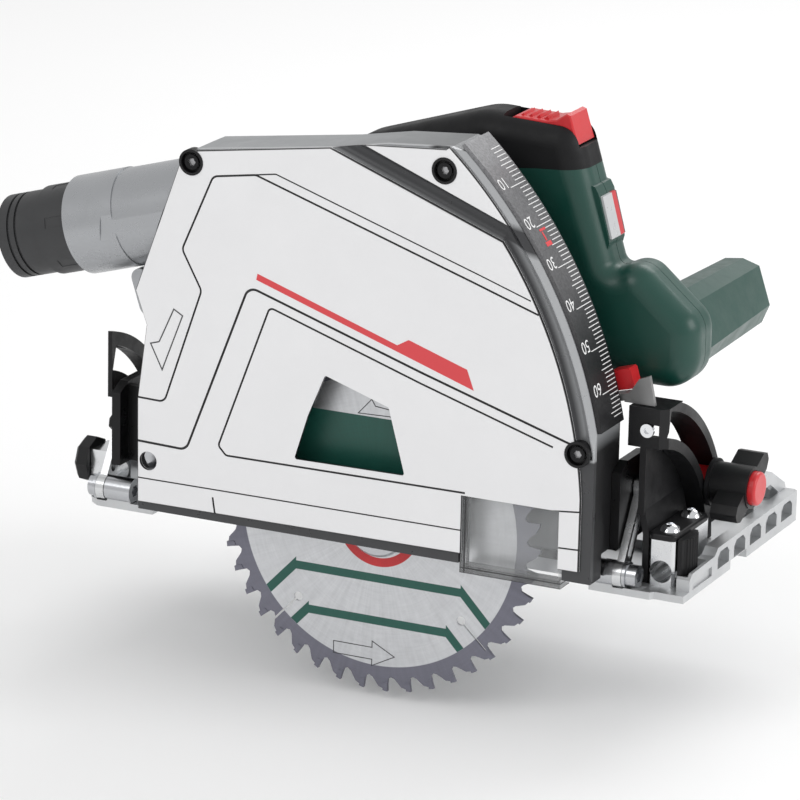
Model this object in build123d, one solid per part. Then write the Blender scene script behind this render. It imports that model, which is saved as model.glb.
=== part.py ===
"""Cordless track plunge saw, plunged to full depth, built from separate pieces.

Units are millimetres. +X is the cutting direction, +Y points from the blade to the motor, +Z is up.
The origin is on the sole plane, in the blade's middle plane, right below the arbor at full depth.
Every function returns one piece, or one group of identical pieces.
"""

from build123d import *
import os
from math import cos, hypot, radians, sin, sqrt

# Blade and arbor
BLADE_RADIUS = 82.5
BLADE_HALF = 0.6
KERF_HALF = 0.9
TEETH = 42
FULL_DEPTH = 66.0
ARBOR_Z = BLADE_RADIUS - FULL_DEPTH
SPIGOT_RADIUS = 10.0
FLANGE_RADIUS = 16.0

# Plunge pivot, and the guard's front, which is an arc round it
PIVOT_X = -113.9
PIVOT_Z = 32.8
SHAFT_RADIUS = 8.0
GUARD_RADIUS = 231.0
SCALE_RADIUS = 233.0
RIM_RADIUS = 228.0
PANEL_RADIUS = 221.5
RIM_GROOVE_RADIUS = 225.0
GUARD_BOTTOM = 8.0
PANEL_BOTTOM = 12.0
PANEL_Y = -15.0
RIM_Y = -13.0
CASE_Y = -10.2
WALL_Y = 13.0
GUARD_BACK = 16.0
WALL = 3.2

# Base plate
BASE_REAR = -156.0
BASE_FRONT = 151.0
BASE_NEAR = 3.0
BASE_FAR = 165.0
SOLE = 3.5
NOTCH_REAR = -121.0
NOTCH_FRONT = 105.0
NOTCH_Y = 17.0
GROOVE_Y0 = 62.0
GROOVE_Y1 = 82.0
GROOVE_TOP = 4.2
GROOVE_ROOF = 8.0

# Parallel-guide rods and their clamps
ROD_RADIUS = 5.3
ROD_Z = 10.4
FRONT_ROD_X = 135.9
REAR_ROD_X = -153.75
CLAMP_NEAR = 14.0
CLAMP_FAR = 54.0
CLAMP_TOP = 25.6
CAP = 3.0
REAR_CLAMP_NEAR = 13.5
REAR_CLAMP_FAR = 58.0
REAR_CLAMP_TOP = 18.0

KNOB_Y = 24.0
KNOB_Z = 18.0

# Bevel mechanism: it turns about the X axis through the origin, along slots in two quadrants
BEVEL = 46.0
SLOT_IN = 75.0
SLOT_OUT = 87.5
QUAD_OUT = 92.0
QUAD_IN = 70.0
BOLT_RADIUS = 81.25
BOLT_ANGLE = 27.6
REAR_BOLT_ANGLE = 24.0
SHOE_HALF_ANGLE = 2.8
QUAD_TOP = 86.8
REAR_SLOT_IN = 66.0
REAR_SLOT_OUT = 78.0
REAR_OUT = 84.5
REAR_BOLT_RADIUS = 72.0
ARM_LOW = (6.5, 9.0)
ARM_TOP = (28.0, 45.0)
ARM_SLIDE = 4.8

# Gear train: arbor gear, layshaft pinion, layshaft gear, rotor pinion
ARBOR_TEETH = 20
LAY_PINION_TEETH = 16
LAY_GEAR_TEETH = 33
ROTOR_TEETH = 11
COARSE = 1.25
FINE = 1.0
LAY_Z = ARBOR_Z + COARSE * (ARBOR_TEETH + LAY_PINION_TEETH) / 2
ROTOR_Z = LAY_Z + FINE * (LAY_GEAR_TEETH + ROTOR_TEETH) / 2

# Motor and handle
MOTOR_RADIUS = 39.0
MOTOR_NEAR = 66.0
MOTOR_FAR = 134.0
MOTOR_END = 144.0
HANDLE_NEAR = 33.0
HANDLE_SPLIT = 49.0
HANDLE_FAR = 65.0
HANDLE_ROUND = 11.0

# Dust duct: a tube that leaves the guard backwards and slightly down
DUCT_SLOPE = 16.0
DUCT_ORIGIN = (-156.0, 8.0, 137.5)
DUCT_RADIUS = 23.0
DUCT_BORE = 20.3
NOZZLE_RADIUS = 20.0
NOZZLE_BORE = 17.5

# Battery
BATTERY_BOX = (-120.0, -43.0, 37.0, 112.0, 92.0, 151.0)


# ---------- helpers ----------

def along_y(sketch, y0, y1):
    """Extrude a sketch drawn in X and Z from y0 to y1."""
    return extrude(Plane.XZ.offset(-y0) * sketch, amount=y1 - y0, dir=(0, 1, 0))


def along_x(sketch, x0, x1):
    """Extrude a sketch drawn in Y and Z from x0 to x1."""
    return extrude(Plane.YZ.offset(x0) * sketch, amount=x1 - x0, dir=(1, 0, 0))


def along_z(sketch, z0, z1):
    """Extrude a sketch drawn in X and Y from z0 to z1."""
    return extrude(Plane.XY.offset(z0) * sketch, amount=z1 - z0, dir=(0, 0, 1))


def block(x0, x1, y0, y1, z0, z1):
    """A box given by its limits."""
    return Pos((x0 + x1) / 2, (y0 + y1) / 2, (z0 + z1) / 2) * Box(x1 - x0, y1 - y0, z1 - z0)


def disc(a, b, radius):
    """A round sketch centred on a and b."""
    return Pos(a, b) * Circle(radius)


def shape(points, corner=0.0):
    """A closed sketch through points, with every corner rounded."""
    sketch = Polygon(*points, align=None)
    return fillet(sketch.vertices(), corner) if corner else sketch


def polar(radius, angle):
    """A point at an angle round the sketch's origin."""
    return (radius * cos(radians(angle)), radius * sin(radians(angle)))


def on_arc(radius, angle):
    """A point in X and Z at an angle round the plunge pivot."""
    x, z = polar(radius, angle)
    return (PIVOT_X + x, PIVOT_Z + z)


def sector(inner, outer, low, high, centre=(0.0, 0.0)):
    """A ring sector between two radii and two angles."""
    def at(radius, angle):
        x, z = polar(radius, angle)
        return (centre[0] + x, centre[1] + z)

    middle = (low + high) / 2
    edges = [
        Line(at(inner, low), at(outer, low)).edge(),
        ThreePointArc(at(outer, low), at(outer, middle), at(outer, high)).edge(),
        Line(at(outer, high), at(inner, high)).edge(),
        ThreePointArc(at(inner, high), at(inner, middle), at(inner, low)).edge(),
    ]
    return make_face(edges)


def tube_y(x, z, outer, inner, y0, y1):
    """A ring-shaped piece along Y."""
    return along_y(disc(x, z, outer) - disc(x, z, inner), y0, y1)


def rod_y(x, z, radius, y0, y1):
    """A round bar along Y."""
    return along_y(disc(x, z, radius), y0, y1)


def rod_x(y, z, radius, x0, x1):
    """A round bar along X."""
    return along_x(disc(y, z, radius), x0, x1)


def rod_z(x, y, radius, z0, z1):
    """A round bar along Z."""
    return along_z(disc(x, y, radius), z0, z1)


def seam(points, width, radius, y, depth):
    """The cutter of an engraved line along points with rounded corners, on the face at y."""
    path = FilletPolyline(*points, radius=radius) if radius else Polyline(*points)
    return along_y(trace(path, width), y - 1.0, y + depth)


def hull(circles):
    """The outline round circles, each given as x, z and radius."""
    return make_hull([disc(x, z, radius).edge() for x, z, radius in circles])


def gear(teeth, module, x, z, y0, y1, first_angle):
    """A spur gear with slim trapezoid teeth and one tooth at first_angle."""
    root = module * (teeth / 2 - 1.2)
    tip = module * (teeth / 2 + 0.85)
    pitch = 360.0 / teeth
    points = []
    for tooth in range(teeth):
        angle = first_angle + tooth * pitch
        for radius, share in ((root, -0.26), (tip, -0.11), (tip, 0.11), (root, 0.26)):
            a, b = polar(radius, angle + share * pitch)
            points.append((x + a, z + b))
    return along_y(shape(points), y0, y1)


def torx_recess(depth_radius):
    """A six-lobed socket outline."""
    sketch = Circle(depth_radius * 0.78)
    for turn in range(6):
        a, b = polar(depth_radius * 0.62, 60 * turn)
        sketch += disc(a, b, depth_radius * 0.3)
    return sketch


def bearing(x, z, bore, outer, y0, y1):
    """A ball bearing: two rings and a filled gap, as one sealed piece."""
    ring_depth = (outer - bore) * 0.28
    body = tube_y(x, z, outer, bore, y0, y1)
    for side_y in (y0, y1 - 0.6):
        body -= tube_y(x, z, outer - ring_depth, bore + ring_depth, side_y, side_y + 0.6)
    return body


# ---------- base ----------

def base_plate():
    outline = shape([
        (BASE_REAR, BASE_NEAR + 4), (BASE_REAR + 5, BASE_NEAR), (NOTCH_REAR, BASE_NEAR),
        (NOTCH_REAR, NOTCH_Y), (NOTCH_FRONT, NOTCH_Y), (NOTCH_FRONT, BASE_NEAR),
        (135, BASE_NEAR), (136.5, BASE_NEAR + 2), (BASE_FRONT, BASE_NEAR + 2),
        (BASE_FRONT, 146), (143, BASE_FAR), (BASE_REAR + 10, BASE_FAR), (BASE_REAR, BASE_FAR - 10),
    ])
    plate = along_z(outline, 0, SOLE)
    plate += block(REAR_ROD_X - 6.25, BASE_REAR + 1, REAR_CLAMP_NEAR, REAR_CLAMP_FAR, 0, SOLE)
    channel = shape([(GROOVE_Y0 - 3, 0), (GROOVE_Y0 - 3, GROOVE_ROOF), (GROOVE_Y1 + 3, GROOVE_ROOF),
                     (GROOVE_Y1 + 3, 0)])
    plate += along_x(channel, BASE_REAR, BASE_FRONT - 8)
    plate += rim_walls()
    plate += stiffening_ribs()
    plate += front_web()
    plate += arm_lugs()
    y, z = ARM_LOW
    plate -= rod_x(y, z, 6.9, 116.9, 122.0) + rod_x(y, z, 6.9, -151.2, -145.9)
    plate -= rod_x(y, z, 6.3, 121.8, 131.0) + rod_x(y, z, 6.3, -155.6, -151.0)
    plate -= rod_x(y, z, 6.0, 106.0, 117.0) + rod_x(y, z, 6.0, -146.0, -132.0)
    groove = block(BASE_REAR - 10, BASE_FRONT + 10, GROOVE_Y0, GROOVE_Y1, -1, GROOVE_TOP)
    for x in (FRONT_ROD_X, REAR_ROD_X):
        plate -= block(x - 7, x + 7, GROOVE_Y0 - 4, GROOVE_Y1 + 4, ROD_Z - ROD_RADIUS - 0.1, 12)
    gear_pocket = along_z(shape([(-27, 10), (27, 10), (27, 50), (-27, 50)], 4), -1, 20)
    return plate - groove - gear_pocket


def rim_walls():
    """Low upright walls along the notch and the far side."""
    walls = block(BASE_REAR + 10, 143, BASE_FAR - 3, BASE_FAR, 0, 9)
    walls += block(NOTCH_REAR + 2, -30, NOTCH_Y, NOTCH_Y + 2.5, 0, 8)
    walls += block(30, NOTCH_FRONT - 2, NOTCH_Y, NOTCH_Y + 2.5, 0, 8)
    return walls


def stiffening_ribs():
    """Ribs on top of the plate, along and across."""
    ribs = block(BASE_REAR + 12, BASE_FRONT - 6, 122, 124.5, 0, 7)
    for x in (-112, -70, -28, 28, 70, 104):
        ribs += block(x - 1.2, x + 1.2, GROOVE_Y1 + 2, BASE_FAR - 2, 0, 7)
    for x in (-90, -48, 48, 90):
        ribs += block(x - 1.2, x + 1.2, NOTCH_Y + 1, GROOVE_Y0 - 2, 0, 6)
    return ribs


def front_web():
    """The upright front edge, with pockets between its ribs, and the far raised flange."""
    profile = shape([(12, 0), (12, 9), (15, 11.5), (42, 12), (46, 15), (146, 15), (146, 0)])
    web = along_x(profile, BASE_FRONT - 6.5, BASE_FRONT)
    web -= rod_x(KNOB_Y, KNOB_Z, 13.4, BASE_FRONT - 7, BASE_FRONT - 1.6)
    for start in range(46, 140, 20):
        pocket = shape([(start, 4.5), (start, 10), (start + 3, 12.5), (start + 11, 12.5),
                        (start + 14, 10), (start + 14, 4.5)])
        web -= along_x(pocket, BASE_FRONT - 4.5, BASE_FRONT + 1)
    web -= along_x(shape([(16, 3.5), (16, 8), (39, 8), (39, 3.5)]), BASE_FRONT - 1.0, BASE_FRONT + 1)
    flange = shape([(106, 0), (106, 22), (111, 28), (128, 28), (146, 18), (149, 12), (149, 0)])
    flange -= shape([(115, 9), (115, 18), (119, 22), (127, 22), (137, 16), (137, 9)])
    return web + along_x(flange, BASE_FRONT - 10.5, BASE_FRONT - 6.5)


def arm_lugs():
    """Cast feet under the two arm pivot pins."""
    y, z = ARM_LOW
    foot = shape([(y - 3.5, 0), (y - 3.5, z - 4.5), (y + 3.5, z - 4.5), (y + 3.5, 0)])
    return along_x(foot, 107, 116.5) + along_x(foot, -145.5, -133)


def arm_pivot_pins():
    """The two turned pins that the bevel arms swing on, with their washers and screw heads."""
    y, z = ARM_LOW
    front = rod_x(y, z, 6.0, 106.5, 117.2) + rod_x(y, z, 3.0, 117, 122)
    front += rod_x(y, z, 6.2, 121.9, 123.4) + rod_x(y, z, 5.2, 123.3, 128.4)
    front -= along_x(Pos(y, z) * torx_recess(3.2), 126, 129)
    rear = rod_x(y, z, 6.0, -146.2, -132.5) + rod_x(y, z, 3.0, -151, -146)
    rear += rod_x(y, z, 6.2, -152.4, -150.9)
    rear += rod_x(y, z, 5.2, -155.4, -152.3)
    rear -= along_x(Pos(y, z) * torx_recess(3.2), -135, -132)
    return Compound([front.solid(), rear.solid()])


def quadrant_slot(radius_in, radius_out, bolt_angle):
    """The curved slot of a quadrant, from just below the bolt at rest to just past full bevel."""
    spare = SHOE_HALF_ANGLE + 0.7
    return sector(radius_in, radius_out, bolt_angle - spare, bolt_angle + BEVEL + spare)


def front_quadrant():
    """The front bevel quadrant: two curved bands, an end block, a web and a sloping foot."""
    slot = quadrant_slot(SLOT_IN, SLOT_OUT, BOLT_ANGLE)
    body = along_x(sector(QUAD_IN, QUAD_OUT, 2.5, 79), 122.0, 136.0)
    end = shape([(14, 68), (14, QUAD_TOP), (33, QUAD_TOP), (24, 83), (24, 68)])
    body += along_x(end, 117.4, 136.0)
    web = sector(22, QUAD_IN + 1, 8, 79) & shape([(14, 36), (14, 90), (100, 90), (100, 5), (60, 5), (60, 36)])
    body += along_x(web, 123.5, 126.5)
    foot = shape([(123.5, 38), (126.5, 38), (129.0, 27), (129.0, SOLE), (126.0, SOLE), (126.0, 26.5)])
    body += along_y(foot, 15.0, 60.0)
    limit = shape([(14, SOLE), (14, QUAD_TOP), (100, QUAD_TOP), (100, SOLE)])
    body &= along_x(limit, 115, 137)
    body -= along_x(slot, 115, 137)
    body -= along_z(shape([(131.6, 13), (137, 13), (137, 18.4)]), 60, 90)
    body -= block(FRONT_ROD_X - 6.7, 140, 10, 110, 0, 17)
    body -= block(110, 140, GROOVE_Y0 - 3, GROOVE_Y1 + 3, 0, GROOVE_ROOF)
    body -= block(128.4, 132.4, 10, 20, 73.6, 79.2)
    return body - rod_y(127, 76.5, 3.4, 10, 17)


def rear_quadrant():
    """The rear bevel quadrant: a deep box, and a thin plate that carries the end of the slot."""
    slot = quadrant_slot(REAR_SLOT_IN, REAR_SLOT_OUT, REAR_BOLT_ANGLE)
    ring = sector(20, REAR_OUT, 5, 80)
    deep = ring & shape([(36, 28), (36, 72), (41, 79), (100, 79), (100, 28)])
    body = along_x(deep, -159.6, -151.3)
    low = shape([(38, REAR_CLAMP_TOP), (36, 28), (36, 31), (83, 31), (83, REAR_CLAMP_TOP)])
    body += along_x(low, -156.0, -151.3)
    plate = sector(34, REAR_OUT, 10, 78) & shape([(18, 50), (18, 90), (60, 90), (60, 50)])
    body += along_x(plate, -153.6, -151.3)
    return body - along_x(slot, -162, -150)


def quadrant_screw():
    """The ring-headed stop screw in the front quadrant's end block."""
    head = rod_y(127, 76.5, 3.2, 12.6, 14.6) - rod_y(127, 76.5, 1.5, 12.0, 13.8)
    return head + rod_y(127, 76.5, 2.0, 14.5, 17.0)


def rod_clamp_blocks():
    """The two cast blocks that take the parallel guide's rods."""
    x = FRONT_ROD_X
    front = block(x - 6.3, x + 6.3, CLAMP_NEAR, CLAMP_FAR, SOLE, CLAMP_TOP)
    front = chamfer(front.faces().sort_by(Axis.Y)[0].edges().filter_by(Axis.Z), 1.2)
    front -= rod_y(x, ROD_Z, ROD_RADIUS, CLAMP_NEAR - 1, CLAMP_FAR + 1)
    x = REAR_ROD_X
    rear = block(x - 6.25, x + 6.25, 30.0, REAR_CLAMP_FAR, SOLE, REAR_CLAMP_TOP)
    rear += block(x - 6.25, x + 2.4, REAR_CLAMP_NEAR, 30.0, SOLE, 24.0)
    rear -= rod_y(x, ROD_Z, ROD_RADIUS, REAR_CLAMP_NEAR + 4, REAR_CLAMP_FAR + 1)
    return Compound([front.solid(), rear.solid()])


def rod_clamp_cap():
    """The flat plate on top of the front clamp block."""
    cap = block(FRONT_ROD_X - 6.8, FRONT_ROD_X + 7.0, CLAMP_NEAR - 1, CLAMP_FAR, CLAMP_TOP, CLAMP_TOP + CAP)
    cap = fillet(cap.edges().filter_by(Axis.Z), 3.0)
    return fillet(cap.faces().sort_by(Axis.Z)[-1].edges(), 1.4)


def rod_clamp_screws():
    """Two round-headed screws through the cap."""
    screws = []
    top = CLAMP_TOP + CAP
    for y in (21.0, 46.0):
        head = Pos(FRONT_ROD_X + 1, y, top - 1.8) * Sphere(5.2)
        head &= block(FRONT_ROD_X - 6, FRONT_ROD_X + 7, y - 6, y + 6, top, top + 4)
        head -= along_z(Pos(FRONT_ROD_X + 1, y) * torx_recess(2.2), top + 2.2, top + 8)
        screws.append(head.solid())
    return Compound(screws)


def front_rod_knob():
    """The front clamp's paddle knob, with upright grip ribs on its curved face."""
    x0 = FRONT_ROD_X + 6.6
    paddle = rod_z(x0 - 9.5, KNOB_Y, 15.6, KNOB_Z - 9.2, KNOB_Z + 8.6)
    paddle &= block(x0 + 1.0, x0 + 8, KNOB_Y - 9.2, KNOB_Y + 9.2, 0, 40)
    paddle = chamfer(paddle.faces().sort_by(Axis.Z)[0].edges(), 0.8)
    for turn in range(-28, 29, 8):
        x, y = polar(15.9, turn)
        paddle -= rod_z(x0 - 9.5 + x, KNOB_Y + y, 1.1, 0, 40)
    return paddle + rod_x(KNOB_Y, KNOB_Z, 6.0, x0, x0 + 1.2)


def rear_rod_knob():
    """The eight-sided thumb knob of the rear rod clamp."""
    x1 = REAR_ROD_X - 6.6
    knob = along_x(Pos(20, 17) * RegularPolygon(11.4, 8), x1 - 7.0, x1)
    knob = chamfer(knob.faces().sort_by(Axis.X)[0].edges(), 1.6)
    return knob - rod_x(20, 17, 5.0, x1 - 8.0, x1 - 6.0)


def rail_adjuster(x):
    """An eccentric knob that takes up the play on the guide rail."""
    y = GROOVE_Y0 - 9.0
    knob = rod_z(x, y, 7.5, 8.2, 15.0) + block(x - 2.2, x + 2.2, y - 10.5, y, 9.5, 15.0)
    return knob + rod_z(x, y, 3.0, SOLE + 0.3, 8.3)


# ---------- bevel linkage ----------

def bevel_arm(x0, x1, pin_out, pin_in):
    """A forged arm with a ring at each end, grooved between them, and its top pin."""
    y0, z0 = ARM_LOW
    y1, z1 = ARM_TOP
    body = along_x(hull([(y0, z0, 4.4), (y1, z1, 3.6)]), x0 + 0.4, x1 - 0.4)
    body += rod_x(y0, z0, 6.3, x0, x1) + rod_x(y1, z1, 5.6, x0, x1)
    third = [(y0 + (y1 - y0) * t, z0 + (z1 - z0) * t) for t in (0.24, 0.8)]
    groove = hull([(third[0][0], third[0][1], 2.3), (third[1][0], third[1][1], 1.6)])
    body -= along_x(groove, x1 - 1.6, x1 + 1) + along_x(groove, x0 - 1, x0 + 1.6)
    body -= rod_x(y0, z0, 3.05, x0 - 1, x1 + 1)
    return body + rod_x(y1, z1, 2.6, min(pin_out, pin_in), max(pin_out, pin_in))


def front_bevel_arm():
    return bevel_arm(117.4, 121.7, 123.2, 113.5)


def rear_bevel_arm():
    return bevel_arm(-150.7, -146.4, -150.7, -142.2)


def arm_slot():
    """The slot that an arm's top pin slides in as the frame tilts."""
    y, z = ARM_TOP
    reach = hypot(y, z)
    inner = (y * (reach - ARM_SLIDE) / reach, z * (reach - ARM_SLIDE) / reach)
    return hull([(y, z, 3.15), (inner[0], inner[1], 3.15)])


def tilt_profile(bolt_radius, bolt_angle):
    """Outline of a tilt plate in Y and Z."""
    bolt_y, bolt_z = polar(bolt_radius, bolt_angle)
    return shape([
        (8, 20), (8, 56), (16, 60), (36, 60), (60, 54), (bolt_y + 6, bolt_z + 12),
        (bolt_y + 9, bolt_z - 4), (bolt_y + 2, 22), (40, 20),
    ])


def front_tilt_plate():
    plate = along_x(tilt_profile(BOLT_RADIUS, BOLT_ANGLE), 112.6, 116.9)
    plate -= along_x(arm_slot(), 110, 120)
    bolt_y, bolt_z = polar(BOLT_RADIUS, BOLT_ANGLE)
    plate -= rod_x(bolt_y, bolt_z, 3.0, 110, 120)
    return plate + block(108, 112.6, 16.2, 19, 16, 50)


def rear_tilt_plate():
    """The rear plate, with a flange along the guard and an outboard ear for the plunge shaft."""
    plate = along_x(tilt_profile(REAR_BOLT_RADIUS, REAR_BOLT_ANGLE), -145.9, -141.4)
    plate -= along_x(arm_slot(), -148, -140)
    bolt_y, bolt_z = polar(REAR_BOLT_RADIUS, REAR_BOLT_ANGLE)
    plate -= rod_x(bolt_y, bolt_z, 3.0, -148, -140)
    flange = shape([(-141.6, 21), (-141.6, 58), (-122, 58), (-100, 50), (-98, 36), (-104, 21)])
    plate += along_y(flange, GUARD_BACK, 20)
    ear = shape([(-141.6, 21), (-141.6, 50), (-118, 48), (-102, 40), (-101, 27), (-110, 20.5)])
    plate += along_y(ear, 40, 47)
    return plate - rod_y(PIVOT_X, PIVOT_Z, SHAFT_RADIUS, 10, 60)


def bevel_bolts():
    """The two clamp bolts that run from the tilt plates through the quadrant slots."""
    y, z = polar(BOLT_RADIUS, BOLT_ANGLE)
    front = rod_x(y, z, 3.0, 111.0, 148.0) + rod_x(y, z, 5.5, 109.2, 112.6)
    y, z = polar(REAR_BOLT_RADIUS, REAR_BOLT_ANGLE)
    rear = rod_x(y, z, 3.0, -170.0, -140.0) + rod_x(y, z, 5.5, -141.4, -138.2)
    return Compound([front.solid(), rear.solid()])


def bevel_shoes():
    """The sliding blocks that guide the clamp bolts in the quadrant slots."""
    shoes = []
    for radius, angle, width, x0, x1 in (
            (BOLT_RADIUS, BOLT_ANGLE, SLOT_OUT - SLOT_IN, 117.2, 136.4),
            (REAR_BOLT_RADIUS, REAR_BOLT_ANGLE, REAR_SLOT_OUT - REAR_SLOT_IN, -159.8, -146.2)):
        outline = sector(radius - width / 2 + 0.6, radius + width / 2 - 0.6,
                         angle - SHOE_HALF_ANGLE, angle + SHOE_HALF_ANGLE)
        y, z = polar(radius, angle)
        shoes.append(along_x(outline - disc(y, z, 3.0), x0, x1).solid())
    return Compound(shoes)


def front_bevel_knob():
    """The front clamp knob: a barrel with a flange and two wings."""
    y, z = polar(BOLT_RADIUS, BOLT_ANGLE)
    knob = rod_x(y, z, 11.4, 136.8, 138.6) + rod_x(y, z, 10.0, 138.5, 157.0)
    wing = shape([(6, -4.6), (17.5, -4.4), (21.5, -1.5), (21.5, 2.5), (18, 5.2), (6, 5.6)], 1.2)
    body = along_x(wing, 143.4, 156.5)
    for turn in (28.0, 208.0):
        knob += Pos(0, y, z) * Rot(turn, 0, 0) * body
    knob -= rod_x(y, z, 8.3, 150.0, 158.0)
    return knob - rod_x(y, z, 3.05, 136, 149)


def undercut_button():
    """The round push button in the middle of the front clamp knob."""
    y, z = polar(BOLT_RADIUS, BOLT_ANGLE)
    button = rod_x(y, z, 8.0, 153.4, 160.6)
    return fillet(button.edges().sort_by(Axis.X)[-1], 1.4)


def rear_bevel_knob():
    y, z = polar(REAR_BOLT_RADIUS, REAR_BOLT_ANGLE)
    knob = rod_x(y, z, 8.0, -172.0, -160.6)
    wing = shape([(5, -4), (14, -3.4), (16, 0), (14, 3.4), (5, 4)], 1.0)
    body = along_x(wing, -171.0, -162.0)
    for turn in (20.0, 200.0):
        knob += Pos(0, y, z) * Rot(turn, 0, 0) * body
    return knob - rod_x(y, z, 3.05, -170.5, -160)


# ---------- guard ----------

def guard_outline(low_z):
    """The guard's side outline: straight sides and a front arc round the plunge pivot."""
    top = on_arc(GUARD_RADIUS, 46.8)
    low = on_arc(GUARD_RADIUS, 11.45)
    sides = Polyline(
        low, (low[0], low_z), (-120, low_z), (-119.9, 62.8), (-115.4, 99), (-121.3, 115.1),
        (-97.2, 182.9), (-91, 186), (-20.5, 195.6), (6, 200.5), (38, 203), top,
    )
    front = ThreePointArc(top, on_arc(GUARD_RADIUS, 29), low)
    return make_face(sides.edges() + [front.edge()])


def guard_case():
    """The cast shell that encloses the blade, open at the bottom and on the near side."""
    shell = along_y(guard_outline(GUARD_BOTTOM), CASE_Y, GUARD_BACK)
    cavity = offset(guard_outline(GUARD_BOTTOM), amount=-WALL)
    shell -= along_y(cavity, CASE_Y - 1, WALL_Y)
    shell -= block(-108, 104, CASE_Y - 1, WALL_Y, 0, 20)
    shell += along_y(disc(PIVOT_X, PIVOT_Z, 12.5) & guard_outline(GUARD_BOTTOM), CASE_Y, GUARD_BACK)
    shell -= rod_y(PIVOT_X, PIVOT_Z, SHAFT_RADIUS, CASE_Y - 1, GUARD_BACK + 1)
    path = sector(98.4, 132.2, -26, 26.7, (PIVOT_X, PIVOT_Z)) + disc(*on_arc(115.2, 26.7), 16.9)
    shell -= along_y(path, WALL_Y - 0.5, GUARD_BACK + 1)
    shell -= block(104.5, 120, -1, 20, 0, 19.5)
    shell -= along_duct(Circle(DUCT_BORE - 0.3), -75, 10) & block(-140, -90, CASE_Y, WALL_Y, 90, 190)
    return shell


def guard_rim():
    """The side plate that closes the guard, with its bevelled front edge."""
    plate = along_y(guard_outline(GUARD_BOTTOM), RIM_Y, CASE_Y)
    front = plate.faces().sort_by(Axis.Y)[0].edges().filter_by(GeomType.CIRCLE)
    plate = chamfer(front, 2.2)
    plate -= along_y(window_sketch(1.5), RIM_Y - 1, CASE_Y + 1)
    plate -= block(46.6, 98.4, RIM_Y - 1, CASE_Y + 1, 0, 64)
    groove = Pos(PIVOT_X, RIM_Y - 1.6, PIVOT_Z) * Rot(90, 0, 0) * Torus(RIM_GROOVE_RADIUS, 3.6)
    plate -= groove & block(0, 130, RIM_Y - 6, RIM_Y + 3, 67, 240)
    valley = Plane(origin=(-20, RIM_Y - 3.4, 200.0), z_dir=(80, 0, -30.6))
    plate -= extrude(valley * Circle(5.4), amount=92, dir=valley.z_dir)
    for x, z in COVER_SCREWS:
        plate -= rod_y(x, z, 6.2, RIM_Y - 1, CASE_Y + 1)
    return plate - rod_y(PIVOT_X, PIVOT_Z, 4.6, RIM_Y - 1, CASE_Y + 1)


COVER_SCREWS = ((-92.5, 180.0), (35.8, 192.2), (104.9, 69.3))


def window_sketch(growth=0.0):
    """The four-sided window in the cover."""
    sketch = shape([(-22.1, 88.1), (10.6, 77.5), (19.4, 46.1), (-37.4, 45.5), (-30.6, 67.5)], 1.2)
    return offset(sketch, amount=growth) if growth else sketch


def main_panel_outline():
    """The raised white panel: its front edge is an arc, cut off by a diagonal at the top."""
    corner = on_arc(PANEL_RADIUS, 36.0)
    low = on_arc(PANEL_RADIUS, 4.0)
    sides = Polyline(
        low, (107, PANEL_BOTTOM + 1.5), (-119.6, PANEL_BOTTOM), (-119.9, 62.8), (-115.4, 99),
        (-121.3, 115.1), (-97.2, 182.9), (-93, 185.3), (-21.7, 195.6), corner,
    )
    front = ThreePointArc(corner, on_arc(PANEL_RADIUS, 20), low)
    return make_face(sides.edges() + [front.edge()])


def guard_cover():
    """The raised cover panel with its seams, window and chip guard opening."""
    panel = along_y(main_panel_outline(), PANEL_Y, RIM_Y)
    panel = chamfer(panel.faces().sort_by(Axis.Y)[0].edges(), 0.7)
    panel -= along_y(window_sketch(), PANEL_Y - 1, RIM_Y + 1)
    panel -= block(48, 97, PANEL_Y - 1, RIM_Y + 1, 0, 41.3)
    for x, z in COVER_SCREWS:
        panel -= rod_y(x, z, 6.2, PANEL_Y - 1, RIM_Y + 1)
    panel -= rod_y(PIVOT_X, PIVOT_Z, 4.6, PANEL_Y - 1, RIM_Y + 1)
    for points, width, radius in COVER_SEAMS:
        panel -= seam(points, width, radius, PANEL_Y, 0.8)
    return panel


# Engraved lines of the cover, each as its points in X and Z, its width and its corner radius.
COVER_SEAMS = (
    (((-125, 63.6), (-105.5, 63.1), (-86.5, 119.5), (-96.8, 138.1), (-81, 174.8), (-59.1, 178.2),
      (54.8, 141.3), (84, 131.6)), 1.0, 4.0),
    (((-59.6, 178.2), (-48.9, 179.9), (54.7, 146.1), (80, 137.6)), 0.7, 3.0),
    (((-125, 42.3), (-93.8, 41.4), (-62, 125), (26, 96.7), (102, 73.6)), 1.2, 5.0),
    (((50, 42.6), (-72.8, 41.8), (-76.9, 46), (-51, 116.5), (26.2, 91.4), (93, 71)), 1.0, 2.4),
    (((-125, 24), (50, 24.5)), 0.7, 0.0),
    (((94, 41.1), (110, 42.7)), 0.8, 0.0),
    (((94, 23.9), (110, 24.5)), 0.8, 0.0),
    (((-79.6, 20.3), (-78.4, 12.9), (-75.3, 9.1)), 1.0, 1.5),
)


def corner_panel():
    """The small raised triangle at the top front, beyond the diagonal valley."""
    top = on_arc(RIM_RADIUS, 48.3)
    low = on_arc(RIM_RADIUS, 37.2)
    sides = Polyline(low, (-4.6, 199.0), (36.3, 201.9), top)
    front = ThreePointArc(top, on_arc(RIM_RADIUS, 42.5), low)
    panel = along_y(make_face(sides.edges() + [front.edge()]), PANEL_Y, RIM_Y)
    panel = chamfer(panel.faces().sort_by(Axis.Y)[0].edges(), 0.5)
    x, z = COVER_SCREWS[1]
    return panel - rod_y(x, z, 6.2, PANEL_Y - 1, RIM_Y + 1)


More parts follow.
